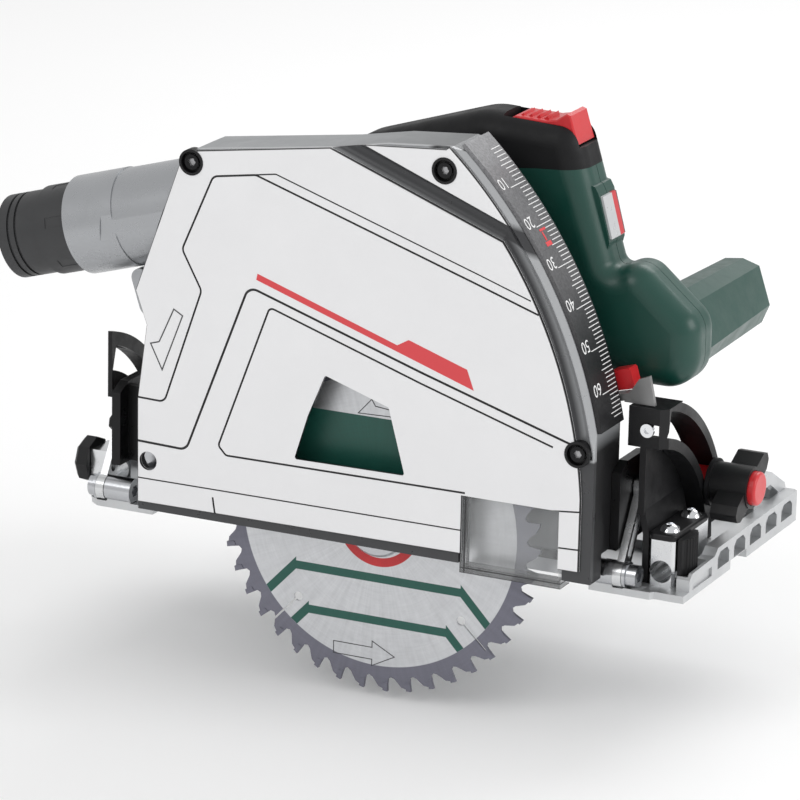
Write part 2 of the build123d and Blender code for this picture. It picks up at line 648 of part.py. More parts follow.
def screw_wells():
    """Black cups that the cover screws sit in."""
    wells = []
    for x, z in COVER_SCREWS:
        well = rod_y(x, z, 6.2, PANEL_Y - 0.3, CASE_Y) - rod_y(x, z, 5.0, PANEL_Y - 1, CASE_Y - 2.0)
        wells.append(well.solid())
    return Compound(wells)


def cover_screws():
    """Three six-lobe screws that hold the cover."""
    screws = []
    for x, z in COVER_SCREWS:
        head = rod_y(x, z, 3.6, CASE_Y - 4.4, CASE_Y - 2.0)
        head -= along_y(Pos(x, z) * torx_recess(2.2), CASE_Y - 5, CASE_Y - 3.2)
        screws.append(head.solid())
    return Compound(screws)


def depth_scale():
    """The curved strip that carries the depth scale."""
    return along_y(sector(GUARD_RADIUS, SCALE_RADIUS, 11.5, 47.6, (PIVOT_X, PIVOT_Z)), CASE_Y, GUARD_BACK - 0.3)


def chip_guard():
    """The clear window beside the blade at the front, with a turned-in foot."""
    plate = block(47.2, 97.8, -12.8, -10.4, 3.5, 42.0)
    foot = block(47.2, 97.8, -12.8, -2.6, 3.5, 5.8)
    sides = block(47.2, 49.4, -12.8, -7.0, 3.5, 41.0) + block(95.6, 97.8, -12.8, -7.0, 3.5, 41.0)
    grip = block(64, 81, -12.9, -8.6, 39.6, 42.0)
    return plate + foot + sides + grip


def plunge_shaft():
    """The shaft that the saw unit plunges on, pressed into the guard."""
    shaft = rod_y(PIVOT_X, PIVOT_Z, SHAFT_RADIUS, -4.0, 66)
    return shaft + rod_y(PIVOT_X, PIVOT_Z, 10.5, 66, 68.5)


def return_spring():
    """The torsion spring that lifts the saw unit, coiled round the shaft."""
    path = Helix(pitch=3.4, height=13.6, radius=11.2)
    wire = sweep(Plane(origin=path @ 0, z_dir=path % 0) * Circle(1.2), path=path)
    return Pos(PIVOT_X, 64.0, PIVOT_Z) * Rot(90, 0, 0) * wire


# ---------- dust duct ----------

def duct_plane(distance):
    """A plane across the duct, at a distance along it from its origin, rearwards."""
    out = (-cos(radians(DUCT_SLOPE)), 0.0, -sin(radians(DUCT_SLOPE)))
    return Plane(origin=DUCT_ORIGIN, x_dir=(0, 1, 0), z_dir=out).offset(distance)


def along_duct(sketch, start, end):
    """Extrude a sketch along the duct."""
    plane = duct_plane(start)
    return extrude(plane * sketch, amount=end - start, dir=plane.z_dir)


def dust_duct():
    """The silver tube from the guard to the nozzle."""
    tube = along_duct(Circle(DUCT_RADIUS), -70, 3)
    tube += along_duct(Circle(DUCT_RADIUS + 0.5), -24, 3)
    tube -= along_duct(Circle(DUCT_BORE), -66, 4)
    tube -= along_y(guard_outline(GUARD_BOTTOM), -40, GUARD_BACK)
    tube -= block(-140, -60, -30, PANEL_Y + 0.2, 80, 200)
    tube = max(tube.solids(), key=lambda solid: solid.volume)
    eye = along_y(hull([(-128, 116, 4.5), (-122, 104, 6.5), (-119, 110, 6)]) - disc(-122.5, 104.5, 3.4), 2, 7)
    eye -= along_y(guard_outline(GUARD_BOTTOM), -40, GUARD_BACK)
    eye -= along_duct(Circle(DUCT_RADIUS - 1.5), -70, 3)
    return tube + eye


def bayonet_ring():
    """The black ring that locks the nozzle on the duct."""
    ring = along_duct(Circle(21.2), 3.3, 20.0) + along_duct(Circle(DUCT_BORE - 0.08), -6, 3.4)
    ring -= along_duct(Circle(18.9), -7, 21)
    for turn in range(6):
        a, b = polar(21.6, 60 * turn + 18)
        ring -= along_duct(Pos(a, b) * Rectangle(1.4, 5.0).rotate(Axis.Z, 60 * turn + 18), 5.0, 14.0)
    return ring


def dust_nozzle():
    """The swivelling nozzle that a hose slips into or over."""
    body = along_duct(Circle(NOZZLE_RADIUS), 20.3, 41.5) + along_duct(Circle(18.84), -5, 20.4)
    body -= along_duct(Circle(NOZZLE_BORE), -6, 43)
    for start in (31.0, 35.0):
        ring = along_duct(Circle(21.0), start, start + 1.3) - along_duct(Circle(NOZZLE_RADIUS - 0.9), start - 1,
                                                                          start + 2)
        body -= ring
    return body


# ---------- depth stop ----------

def depth_stop():
    """The sliding depth stop beside the scale, with its bright pointer plate."""
    carrier = sector(229, 238, 13.6, 14.4, (PIVOT_X, PIVOT_Z))
    plate = shape([(114.0, 87.4), (113.9, 89.4), (116.9, 92.8), (120.8, 99.1), (125.9, 101.1), (129.0, 87.4)])
    return along_y(carrier, GUARD_BACK + 0.4, 24) + along_y(plate, GUARD_BACK + 0.4, GUARD_BACK + 2.6)


def depth_stop_button():
    """The red release of the depth stop."""
    body = sector(229, 239.5, 14.7, 17.0, (PIVOT_X, PIVOT_Z))
    return chamfer(along_y(body, GUARD_BACK + 2.9, 27).edges().filter_by(Axis.Y), 0.8)


# ---------- blade train ----------

def saw_blade():
    pitch = 360.0 / TEETH
    points = []
    for tooth in range(TEETH):
        angle = tooth * pitch
        for radius, share in ((BLADE_RADIUS - 0.2, 0.0), (BLADE_RADIUS - 6.2, 0.06), (BLADE_RADIUS - 7.2, 0.2),
                              (BLADE_RADIUS - 6.2, 0.36), (BLADE_RADIUS - 2.2, 0.62)):
            points.append(polar(radius, angle + share * pitch))
    body = shape([(x, z + ARBOR_Z) for x, z in points]) - disc(0, ARBOR_Z, SPIGOT_RADIUS + 0.02)
    for turn in range(4):
        angle = 45 + 90 * turn + 0.15 * pitch
        slot = Pos(0, ARBOR_Z) * Rot(0, 0, angle) * Pos(BLADE_RADIUS - 14, 0) * Rectangle(18, 1.0)
        eye_x, eye_z = polar(BLADE_RADIUS - 23, angle)
        body -= slot + disc(eye_x, eye_z + ARBOR_Z, 2.2)
    blade = along_y(body, -BLADE_HALF, BLADE_HALF)
    tip = shape([(BLADE_RADIUS, 0.0), (BLADE_RADIUS - 4.6, 0.3), (BLADE_RADIUS - 4.4, -2.0),
                 (BLADE_RADIUS - 0.5, -2.4)])
    for tooth in range(TEETH):
        blade += along_y(Pos(0, ARBOR_Z) * Rot(0, 0, tooth * pitch) * tip, -KERF_HALF, KERF_HALF)
    return blade


def blade_flanges():
    """The inner and outer clamping flanges."""
    inner = rod_y(0, ARBOR_Z, FLANGE_RADIUS, BLADE_HALF, 5.0) + rod_y(0, ARBOR_Z, SPIGOT_RADIUS, -0.5, 1.0)
    inner -= rod_y(0, ARBOR_Z, 6.0, -2, 6)
    outer = rod_y(0, ARBOR_Z, FLANGE_RADIUS, -4.4, -BLADE_HALF) - rod_y(0, ARBOR_Z, 4.1, -6, 0)
    outer = chamfer(outer.edges().group_by(Axis.Y)[0].sort_by(SortBy.LENGTH)[-1], 1.2)
    return Compound([inner.solid(), outer.solid()])


def blade_bolt():
    """The socket screw that holds the blade."""
    head = rod_y(0, ARBOR_Z, 6.8, -9.4, -4.4) + rod_y(0, ARBOR_Z, 4.0, -4.5, -0.6)
    socket = Pos(0, ARBOR_Z) * RegularPolygon(3.4, 6)
    return head - along_y(socket, -10, -6)


def arbor():
    """The output shaft with its gear."""
    shaft = rod_y(0, ARBOR_Z, 6.0, -0.5, 24.0)
    shaft += gear(ARBOR_TEETH, COARSE, 0, ARBOR_Z, 24.0, 34.0, 90.0)
    return shaft + rod_y(0, ARBOR_Z, 4.0, 34.0, 43.0)


def layshaft():
    """The middle shaft with its pinion and its large gear."""
    phase = -90.0 + 180.0 / LAY_PINION_TEETH
    shaft = rod_y(0, LAY_Z, 4.0, 19.2, 59.2)
    shaft += gear(LAY_PINION_TEETH, COARSE, 0, LAY_Z, 24.5, 33.8, phase)
    return shaft + gear(LAY_GEAR_TEETH, FINE, 0, LAY_Z, 45.0, 52.0, 90.0)


def motor_rotor():
    """The rotor with its shaft and pinion."""
    phase = -90.0 + 180.0 / ROTOR_TEETH
    rotor = rod_y(0, ROTOR_Z, 4.0, 53.0, 136.0)
    rotor += gear(ROTOR_TEETH, FINE, 0, ROTOR_Z, 44.6, 53.1, phase)
    return rotor + rod_y(0, ROTOR_Z, 15.5, 73.0, 111.0)


def cooling_fan():
    """A radial fan on the rotor shaft."""
    fan = tube_y(0, ROTOR_Z, 29.0, 4.0, 115.0, 116.6) + tube_y(0, ROTOR_Z, 7.5, 4.0, 115.0, 124.0)
    for turn in range(14):
        vane = Rot(0, 0, 360.0 / 14 * turn) * Pos(18.5, 0) * Rectangle(20.6, 1.3).rotate(Axis.Z, 14)
        fan += along_y(Pos(0, ROTOR_Z) * vane, 116.5, 123.0)
    return fan


def motor_stator():
    """The stator ring with inward teeth."""
    ring = disc(0, ROTOR_Z, 31.0) - disc(0, ROTOR_Z, 26.0)
    for turn in range(9):
        tooth = Rot(0, 0, 40.0 * turn) * Pos(21.5, 0) * Rectangle(10.4, 6.4)
        ring += Pos(0, ROTOR_Z) * tooth
    return along_y(ring - disc(0, ROTOR_Z, 16.4), 72.0, 112.0)


# ---------- saw unit castings ----------

def gearbox_case():
    """The main casting: the arbor boss, the gear chamber and the arm back to the plunge pivot."""
    case = along_y(hull([(0, ARBOR_Z, 16), (0, LAY_Z, 20), (0, ROTOR_Z, 15)]), 17.2, 35.0)
    case += rod_y(0, ARBOR_Z, 16.0, 6.2, 18.0)
    arm = hull([(PIVOT_X, PIVOT_Z, 13.5), (-16, 40, 17)])
    case += along_y(arm, 21.0, 35.0)
    case += along_y(hull([(-16, 40, 17), (-60, 38, 14), (0, ROTOR_Z, 14)]), 21.0, 35.0)
    case += rod_y(PIVOT_X, PIVOT_Z, 13.5, 20.6, 39.4)
    case -= rod_y(PIVOT_X, PIVOT_Z, SHAFT_RADIUS + 0.05, 20, 40)
    case -= rod_y(0, ARBOR_Z, 12.4, 5, 7.6) + rod_y(0, ARBOR_Z, 14.0, 7.5, 15.5)
    case -= rod_y(0, ARBOR_Z, 8.5, 15.4, 23.5) + rod_y(0, ARBOR_Z, 14.3, 23.4, 36)
    case -= rod_y(0, LAY_Z, 8.0, 18.9, 24.1) + rod_y(0, LAY_Z, 12.0, 24.0, 36)
    return case


def gear_plate():
    """The middle casting between the two gear stages, with the arbor's rear bearing seat."""
    plate = along_y(hull([(0, ARBOR_Z, 16), (0, LAY_Z, 20), (0, ROTOR_Z, 15)]), 35.0, 44.0)
    plate -= rod_y(0, ARBOR_Z, 11.0, 35.0, 42.0) + rod_y(0, ARBOR_Z, 6.0, 41.0, 43.2)
    plate -= rod_y(0, LAY_Z, 6.0, 34, 45)
    return plate


def motor_flange():
    """The rear gear casting, which also centres the motor housing."""
    flange = along_y(hull([(0, LAY_Z, 21.5), (0, ROTOR_Z, 20)]), 44.0, 58.0)
    flange += rod_y(0, ROTOR_Z, MOTOR_RADIUS - 3.2, 58.0, 69.5) + rod_y(0, ROTOR_Z, MOTOR_RADIUS, 57.0, 66.0)
    flange -= rod_y(0, LAY_Z, 18.6, 43, 53.0) + rod_y(0, LAY_Z, 8.0, 52.9, 59.4)
    flange -= rod_y(0, ROTOR_Z, 7.6, 43, 56.0) + rod_y(0, ROTOR_Z, 11.0, 56.0, 63.0)
    flange -= rod_y(0, ROTOR_Z, 9.0, 62.9, 71) + rod_y(0, ROTOR_Z, 30.0, 66.5, 71)
    return flange


def arbor_bearing():
    return bearing(0, ARBOR_Z, 6.0, 14.0, 7.5, 15.5)


def shaft_bearings():
    """Three like bearings: the arbor's rear one and both motor bearings."""
    return Compound([
        bearing(0, ARBOR_Z, 4.0, 11.0, 35.0, 42.0).solid(),
        bearing(0, ROTOR_Z, 4.0, 11.0, 56.0, 63.0).solid(),
        bearing(0, ROTOR_Z, 4.0, 11.0, 128.5, 135.5).solid(),
    ])


def layshaft_bearings():
    return Compound([
        bearing(0, LAY_Z, 4.0, 8.0, 19.0, 24.0).solid(),
        bearing(0, LAY_Z, 4.0, 8.0, 54.2, 59.2).solid(),
    ])


def motor_housing():
    """The plastic tube round the motor."""
    tube = tube_y(0, ROTOR_Z, MOTOR_RADIUS, MOTOR_RADIUS - 3.0, MOTOR_NEAR, MOTOR_FAR)
    for turn in range(-60, 241, 12):
        a, b = polar(MOTOR_RADIUS, turn)
        tube += rod_y(a, ROTOR_Z + b, 0.9, MOTOR_NEAR + 8, MOTOR_FAR - 6)
    return tube


def motor_end_cap():
    """The vented end cap, with the rear bearing's seat."""
    cap = rod_y(0, ROTOR_Z, MOTOR_RADIUS, MOTOR_FAR, MOTOR_END)
    cap = fillet(cap.faces().sort_by(Axis.Y)[-1].edges(), 5.0)
    cap -= rod_y(0, ROTOR_Z, MOTOR_RADIUS - 4.5, MOTOR_FAR - 1, MOTOR_END - 3.0)
    cap += tube_y(0, ROTOR_Z, 14.0, 11.0, 128.5, MOTOR_END - 2.0)
    for row in range(-3, 4):
        half = sqrt(30.0 ** 2 - (row * 8.0) ** 2)
        if abs(row) <= 1:
            for side in (-1, 1):
                cap -= block(min(side * 16, side * half), max(side * 16, side * half), MOTOR_END - 4, MOTOR_END + 1,
                             ROTOR_Z + row * 8.0 - 1.6, ROTOR_Z + row * 8.0 + 1.6)
        else:
            cap -= block(-half, half, MOTOR_END - 4, MOTOR_END + 1,
                         ROTOR_Z + row * 8.0 - 1.6, ROTOR_Z + row * 8.0 + 1.6)
    for angle in (45, 135, 225, 315):
        a, b = polar(13.2, angle)
        c, d = polar(MOTOR_RADIUS - 3.0, angle)
        spoke = hull([(a, ROTOR_Z + b, 1.6), (c, ROTOR_Z + d, 1.6)])
        cap += along_y(spoke, MOTOR_FAR + 1.0, MOTOR_END - 2.5)
    return cap


# ---------- handle ----------

def rounded_shape(corners):
    """A closed sketch through corners, each given as its two positions and its own radius."""
    sketch = Polygon(*[(a, b) for a, b, radius in corners], align=None)
    for a, b, radius in corners:
        corner = sketch.vertices().sort_by_distance((a, b, 0))[0]
        sketch = fillet(corner, radius)
    return sketch


def handle_outline():
    """The D handle, its front column and its lower body, in X and Z."""
    return rounded_shape([
        (-43, 88, 11.5), (-43, 156, 20), (-50, 170, 12), (-33, 188.5, 25), (31, 208.8, 30),
        (76.5, 206.5, 11.5), (97, 141, 4), (109.5, 147.5, 12), (139.5, 122, 14), (139.5, 89.5, 16),
        (108, 89.5, 20), (70, 101, 12), (46, 98, 3), (40.5, 88, 11.5),
    ])


def finger_gap():
    """The space under the grip."""
    return rounded_shape([
        (-27, 141, 6), (-27, 164, 10), (22, 181.5, 20), (43, 184, 5), (52, 172, 10), (52, 141, 6),
    ])


def handle_solid():
    """The whole handle as one rounded bar, before it's split into its shells and its grip."""
    body = along_y(handle_outline(), HANDLE_NEAR, HANDLE_FAR)
    ends = body.faces().filter_by(Axis.Y)
    body = fillet(ends.edges(), HANDLE_ROUND)
    return body - along_y(finger_gap(), 0, 100) - gear_clearance()


def handle_shell(near, far, core_near, core_far):
    """One green shell of the handle between two positions, with its hollow."""
    body = handle_solid() & block(-80, 160, near, far, 60, 240)
    inside = offset(handle_outline(), amount=-9.0) - offset(finger_gap(), amount=9.0)
    body -= along_y(inside - disc(0, ROTOR_Z, MOTOR_RADIUS + 9.4), core_near, core_far)
    return body - grip_region()


def handle_shell_near():
    """The near half of the handle."""
    body = handle_shell(HANDLE_NEAR - 1, HANDLE_SPLIT - 0.25, HANDLE_NEAR + 5.0, HANDLE_SPLIT + 1)
    return body + badge_seat(40.0, HANDLE_SPLIT - 0.25)


def handle_shell_far():
    """The far half of the handle, with the front grip and the battery's dock."""
    body = handle_shell(HANDLE_SPLIT + 0.1, HANDLE_FAR + 1, HANDLE_SPLIT - 1, HANDLE_FAR - 5.0)
    body += front_grip() + block(-42.7, -38.0, HANDLE_SPLIT + 1, 106, 98, 146)
    return body + badge_seat(HANDLE_SPLIT + 0.1, 58.0)


def badge_line(out, past=0.0):
    """Both ends of the badge in X and Z, at a distance out from the column and past its ends."""
    return (86.4 + out - 0.277 * past, 174.5 + past), (91.8 + out + 0.277 * past, 155.0 - past)


def badge_seat(y0, y1):
    """The raised seat of the badge on the front of the column."""
    top, low = badge_line(1.9, 1.3)
    seat = shape([(top[0] - 9, top[1] + 5), (top[0] - 1.8, top[1] + 3.2), top, low,
                  (low[0] - 0.9, low[1] - 3.6), (low[0] - 9, low[1] - 2)])
    return along_y(seat, y0, y1) - block(0, 84.0, 0, 100, 100, 200)


def gear_clearance():
    """Room for the castings and the motor that the handle halves close round."""
    room = along_y(hull([(0, LAY_Z, 22), (0, ROTOR_Z, 20.4)]), 30, 60)
    room += rod_y(0, ROTOR_Z, MOTOR_RADIUS + 0.3, 56.6, 70)
    return room


def front_grip():
    """The front grip, an eight-sided bar that tapers away from the body."""
    root = shape([(103, 96), (103, 118), (109, 127.5), (119, 128.5), (125.5, 123), (136.5, 104),
                  (130, 94), (112, 90)])
    end = shape([(101, 96), (101, 114), (107, 122.5), (116, 123.6), (124.5, 121), (130.7, 102.5),
                 (127, 93.5), (109, 87)])
    start = Plane.XZ.offset(-(HANDLE_SPLIT + 4)) * root
    finish = Plane.XZ.offset(-152) * end
    tip = Plane.XZ.offset(-157) * offset(end, amount=-4.0, kind=Kind.INTERSECTION)
    return loft([start.face(), finish.face()], ruled=True) + loft([finish.face(), tip.face()], ruled=True)


def grip_region():
    """The space that the soft grip cover fills: the top of the handle."""
    region = shape([(-60, 162), (-60, 230), (110, 230), (110, 190), (93, 188.0), (60, 186), (50, 185),
                    (40, 171), (30, 169), (-10, 160), (-28, 158), (-40, 156)])
    return along_y(region, 20, 80)


def grip_cover():
    """The black soft grip over the top of the handle."""
    body = handle_solid() & grip_region()
    body -= slider_pocket()
    return body - trigger_pocket()


def slider_pocket():
    """Room for the lock-off slider in the top of the grip."""
    seat = shape([(40.0, 230), (40.0, 202.4), (56.0, 201.1), (63.8, 196.6), (100, 196.6), (100, 230)])
    return along_y(seat, 39.0, 59.0) + block(44, 74.5, 41.6, 56.4, 191.5, 204)


def trigger_pocket():
    """Room for the trigger's body above the finger gap."""
    return block(9.5, 36, 42.5, 55.5, 165, 196.4)


def lock_off_slider():
    """The red switch on top of the handle: ribbed, with a raised hook at its front end."""
    side = shape([(42, 202.7), (42.4, 205.6), (45.5, 207.6), (61, 207.0), (66, 208.0), (71.0, 211.3),
                  (73.0, 210.6), (77.2, 197.6), (64.4, 197.0), (56.4, 201.5)])
    cap = along_y(side, 39.4, 58.6)
    cap = chamfer(cap.faces().sort_by(Axis.Y)[0].edges(), 0.6)
    cap = chamfer(cap.faces().sort_by(Axis.Y)[-1].edges(), 0.6)
    for x in range(46, 61, 4):
        wedge = shape([(x, 206.8), (x + 2.4, 208.7), (x + 3.0, 206.8)])
        cap += along_y(wedge, 43, 55)
    return cap + block(46, 69, 42.2, 55.8, 192.5, 203.7)


def trigger():
    """The trigger under the grip."""
    body = shape([(10, 191), (10, 178), (12, 172.5), (22, 170.5), (33, 174), (35.5, 180), (35.5, 191)])
    return along_y(body, 43.0, 55.0)


def badge_plate():
    """A plain plate on the front of the column."""
    (x0, z0), (x1, z1) = badge_line(1.9)
    plate = along_y(shape([(x0, z0), (x0 + 1.2, z0), (x1 + 1.2, z1), (x1, z1)]), 41.4, 56.8)
    return chamfer(plate.faces().sort_by(Axis.X)[-1].edges(), 0.3)


def battery_pack():
    """The battery, which slides forwards on to its dock."""
    x0, x1, y0, y1, z0, z1 = BATTERY_BOX
    body = block(x0, x1, y0, y1, z0, z1)
    body = chamfer(body.edges().filter_by(Axis.X), 5.0)
    body = chamfer(body.faces().sort_by(Axis.X)[0].edges(), 3.0)
    for y in (y0 + 18, y0 + 37.5, y0 + 57):
        body -= block(x0 + 12, x1 - 12, y - 1.2, y + 1.2, z1 - 1.2, z1 + 1)
    return body - block(x0 + 2, x0 + 22, y1 - 4.2, y1 + 1, z0 + 20, z0 + 40)


def battery_latch():
    """The release button on the battery's far side."""
    x0, x1, y0, y1, z0, z1 = BATTERY_BOX
    button = block(x0 + 2.6, x0 + 21.4, y1 - 1.0, y1 + 1.2, z0 + 20.6, z0 + 39.4)
    return chamfer(button.faces().sort_by(Axis.Y)[-1].edges(), 0.6)


PIECES = {
    "base_plate": base_plate,
    "arm_pivot_pins": arm_pivot_pins,
    "front_quadrant": front_quadrant,
    "rear_quadrant": rear_quadrant,
    "quadrant_screw": quadrant_screw,
    "rod_clamp_blocks": rod_clamp_blocks,
    "rod_clamp_cap": rod_clamp_cap,
    "rod_clamp_screws": rod_clamp_screws,
    "front_rod_knob": front_rod_knob,
    "rear_rod_knob": rear_rod_knob,
    "front_rail_adjuster": lambda: rail_adjuster(70.0),
    "rear_rail_adjuster": lambda: rail_adjuster(-70.0),
    "front_bevel_arm": front_bevel_arm,
    "rear_bevel_arm": rear_bevel_arm,
    "front_tilt_plate": front_tilt_plate,
    "rear_tilt_plate": rear_tilt_plate,
    "bevel_bolts": bevel_bolts,
    "bevel_shoes": bevel_shoes,
    "front_bevel_knob": front_bevel_knob,
    "undercut_button": undercut_button,
    "rear_bevel_knob": rear_bevel_knob,
    "guard_case": guard_case,
    "guard_rim": guard_rim,
    "guard_cover": guard_cover,
    "corner_panel": corner_panel,
    "screw_wells": screw_wells,
    "cover_screws": cover_screws,
    "depth_scale": depth_scale,
    "chip_guard": chip_guard,
    "plunge_shaft": plunge_shaft,
    "return_spring": return_spring,
    "dust_duct": dust_duct,
    "bayonet_ring": bayonet_ring,
    "dust_nozzle": dust_nozzle,
    "depth_stop": depth_stop,
    "depth_stop_button": depth_stop_button,
    "saw_blade": saw_blade,
    "blade_flanges": blade_flanges,
    "blade_bolt": blade_bolt,
    "arbor": arbor,
    "arbor_bearing": arbor_bearing,
    "shaft_bearings": shaft_bearings,
    "layshaft": layshaft,
    "layshaft_bearings": layshaft_bearings,
    "motor_rotor": motor_rotor,
    "cooling_fan": cooling_fan,
    "motor_stator": motor_stator,
    "gearbox_case": gearbox_case,
    "gear_plate": gear_plate,
    "motor_flange": motor_flange,
    "motor_housing": motor_housing,
    "motor_end_cap": motor_end_cap,
    "handle_shell_near": handle_shell_near,
    "handle_shell_far": handle_shell_far,
    "grip_cover": grip_cover,
    "lock_off_slider": lock_off_slider,
    "trigger": trigger,
    "badge_plate": badge_plate,
    "battery_pack": battery_pack,
    "battery_latch": battery_latch,
}


def main():
    os.makedirs("parts", exist_ok=True)
    for name, make in PIECES.items():
        export_step(make(), f"parts/{name}.step")


main()
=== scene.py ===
import math

import bpy
from mathutils import Matrix, Vector


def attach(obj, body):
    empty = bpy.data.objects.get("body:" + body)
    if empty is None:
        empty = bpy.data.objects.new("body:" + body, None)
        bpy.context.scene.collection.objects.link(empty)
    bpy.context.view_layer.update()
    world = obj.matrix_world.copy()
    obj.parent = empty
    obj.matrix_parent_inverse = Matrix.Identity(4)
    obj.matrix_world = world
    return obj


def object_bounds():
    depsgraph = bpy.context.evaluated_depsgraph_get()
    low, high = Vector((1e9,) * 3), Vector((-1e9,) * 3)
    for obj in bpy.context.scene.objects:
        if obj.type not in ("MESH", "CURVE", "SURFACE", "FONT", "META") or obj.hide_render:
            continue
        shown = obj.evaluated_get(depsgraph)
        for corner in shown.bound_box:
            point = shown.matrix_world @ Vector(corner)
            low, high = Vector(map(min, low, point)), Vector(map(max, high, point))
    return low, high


# Sizes repeated from the CAD model, in metres: the plunge pivot, the guard's radii, the arbor and the faces.
PIVOT = (-0.1139, 0.0328)
SCALE_R = 0.233
PANEL_R = 0.2215
ARBOR_Z = 0.0165
ARBOR_REACH = 0.1152
FULL_DEPTH = 0.0497
PANEL_Y = -0.015
SCREW_FACE = -0.0146

# The darker band at the blade's teeth and the printed ring round the arbor, each as two radii, how far prints
# stand proud of the cover, and where the blade's prints lie.
TOOTH_BAND = (0.0703, 0.095)
RING = (0.0173, 0.0216)
INK = 0.00008
BLADE_FACE = -0.0007

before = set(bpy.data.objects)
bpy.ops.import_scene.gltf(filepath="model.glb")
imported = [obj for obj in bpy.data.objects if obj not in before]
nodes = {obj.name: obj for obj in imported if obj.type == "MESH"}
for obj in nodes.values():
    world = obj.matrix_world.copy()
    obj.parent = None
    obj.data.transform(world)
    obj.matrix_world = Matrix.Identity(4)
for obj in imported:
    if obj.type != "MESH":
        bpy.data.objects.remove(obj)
cad_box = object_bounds()
scene = bpy.context.scene


# ---------- material helpers ----------

class Tree:
    """A material's node tree with short calls for the nodes that the finishes share."""

    def __init__(self, name):
        self.material = bpy.data.materials.new(name)
        self.material.use_nodes = True
        self.tree = self.material.node_tree
        self.tree.nodes.clear()
        self.out = self.add("ShaderNodeOutputMaterial")
        self.shader = self.add("ShaderNodeBsdfPrincipled")
        self.link(self.shader.outputs[0], self.out.inputs["Surface"])
        self.coords = self.add("ShaderNodeTexCoord").outputs["Object"]

    def add(self, kind, **settings):
        node = self.tree.nodes.new(kind)
        for key, value in settings.items():
            setattr(node, key, value)
        return node

    def link(self, source, target):
        self.tree.links.new(source, target)

    def put(self, source, target):
        """Links a socket, or sets a plain value."""
        if hasattr(source, "links"):
            self.link(source, target)
        else:
            target.default_value = source

    def math(self, operation, a, b=0.0, c=0.0, clamp=False):
        node = self.add("ShaderNodeMath", operation=operation, use_clamp=clamp)
        for value, socket in zip((a, b, c), node.inputs):
            self.put(value, socket)
        return node.outputs[0]

    def axes(self):
        node = self.add("ShaderNodeSeparateXYZ")
        self.link(self.coords, node.inputs[0])
        return node.outputs[0], node.outputs[1], node.outputs[2]

    def stretched(self, scale):
        node = self.add("ShaderNodeMapping")
        self.link(self.coords, node.inputs["Vector"])
        node.inputs["Scale"].default_value = scale
        return node.outputs[0]

    def noise(self, scale, detail=4.0, roughness=0.55, vector=None):
        node = self.add("ShaderNodeTexNoise")
        self.link(vector or self.coords, node.inputs["Vector"])
        node.inputs["Scale"].default_value = scale
        node.inputs["Detail"].default_value = detail
        node.inputs["Roughness"].default_value = roughness
        return node.outputs["Fac"]

    def between(self, value, low, high, out_low=0.0, out_high=1.0):
        node = self.add("ShaderNodeMapRange", clamp=True)
        for source, socket in zip((value, low, high, out_low, out_high), node.inputs):
            self.put(source, socket)
        return node.outputs[0]

    def band(self, value, low, high, soft=0.00012):
        """1 where value lies between low and high."""
        rise = self.between(value, low - soft, low + soft)
        fall = self.between(value, high - soft, high + soft, 1.0, 0.0)
        return self.math("MULTIPLY", rise, fall)

    def mix(self, factor, a, b, blend="MIX"):
        node = self.add("ShaderNodeMix", data_type="RGBA", blend_type=blend)
        self.put(factor, node.inputs[0])
        for value, socket in ((a, node.inputs[6]), (b, node.inputs[7])):
            if hasattr(value, "links"):
                self.link(value, socket)
            else:
                socket.default_value = (*value, 1.0)
        return node.outputs[2]

    def colour(self, value):
        if hasattr(value, "links"):
            self.link(value, self.shader.inputs["Base Color"])
        else:
            self.shader.inputs["Base Color"].default_value = (*value, 1.0)

    def bump(self, height, strength, distance):
        node = self.add("ShaderNodeBump")
        node.inputs["Strength"].default_value = strength
        node.inputs["Distance"].default_value = distance
        self.link(height, node.inputs["Height"])
        self.link(node.outputs[0], self.shader.inputs["Normal"])


def finish_of(name, colour, rough, metallic=0.0, mottle=0.08, rough_spread=0.08, grain=1400.0,
              grain_depth=0.00003, patch=28.0, coat=0.0, streaks=None, base=None, gloss=0.5):
    """A surface with mottled colour, uneven gloss and fine grain; streaks stretch the grain."""
    t = Tree(name)
    vector = t.stretched(streaks) if streaks else None
    fine = t.noise(grain, 3.0, 0.6, vector)
    broad = t.noise(patch, 5.0, 0.6)
    source = base(t) if base else colour
    shade = t.between(broad, 0.3, 0.7, 1.0 - mottle, 1.0)
    tint = t.mix(1.0, source, t.mix(shade, (0.0, 0.0, 0.0), (1.0, 1.0, 1.0)), "MULTIPLY")
    t.colour(tint)
    smudge = t.noise(90.0, 4.0, 0.65, vector)
    t.link(t.between(smudge, 0.3, 0.7, rough - rough_spread, rough + rough_spread),
           t.shader.inputs["Roughness"])
    t.shader.inputs["Metallic"].default_value = metallic
    t.shader.inputs["Specular IOR Level"].default_value = gloss
    if coat:
        t.shader.inputs["Coat Weight"].default_value = coat
        t.shader.inputs["Coat Roughness"].default_value = 0.15
    t.bump(fine, 0.5, grain_depth)
    return t.material


def paint(names, material):
    for name in names:
        data = nodes[name].data
        data.materials.clear()
        data.materials.append(material)


# ---------- finishes with a pattern ----------

def radius_from(t, centre_x, centre_z):
    x, y, z = t.axes()
    dx = t.math("SUBTRACT", x, centre_x)
    dz = t.math("SUBTRACT", z, centre_z)
    squares = t.math("ADD", t.math("MULTIPLY", dx, dx), t.math("MULTIPLY", dz, dz))
    return t.math("SQRT", squares)


def line_distance(t, first, second):
    """Signed distance in X and Z from the line through two points; positive to its left."""
    x, y, z = t.axes()
    dx, dz = second[0] - first[0], second[1] - first[1]
    size = math.hypot(dx, dz)
    a = t.math("MULTIPLY", t.math("SUBTRACT", z, first[1]), dx / size)
    b = t.math("MULTIPLY", t.math("SUBTRACT", x, first[0]), dz / size)
    return t.math("SUBTRACT", a, b)


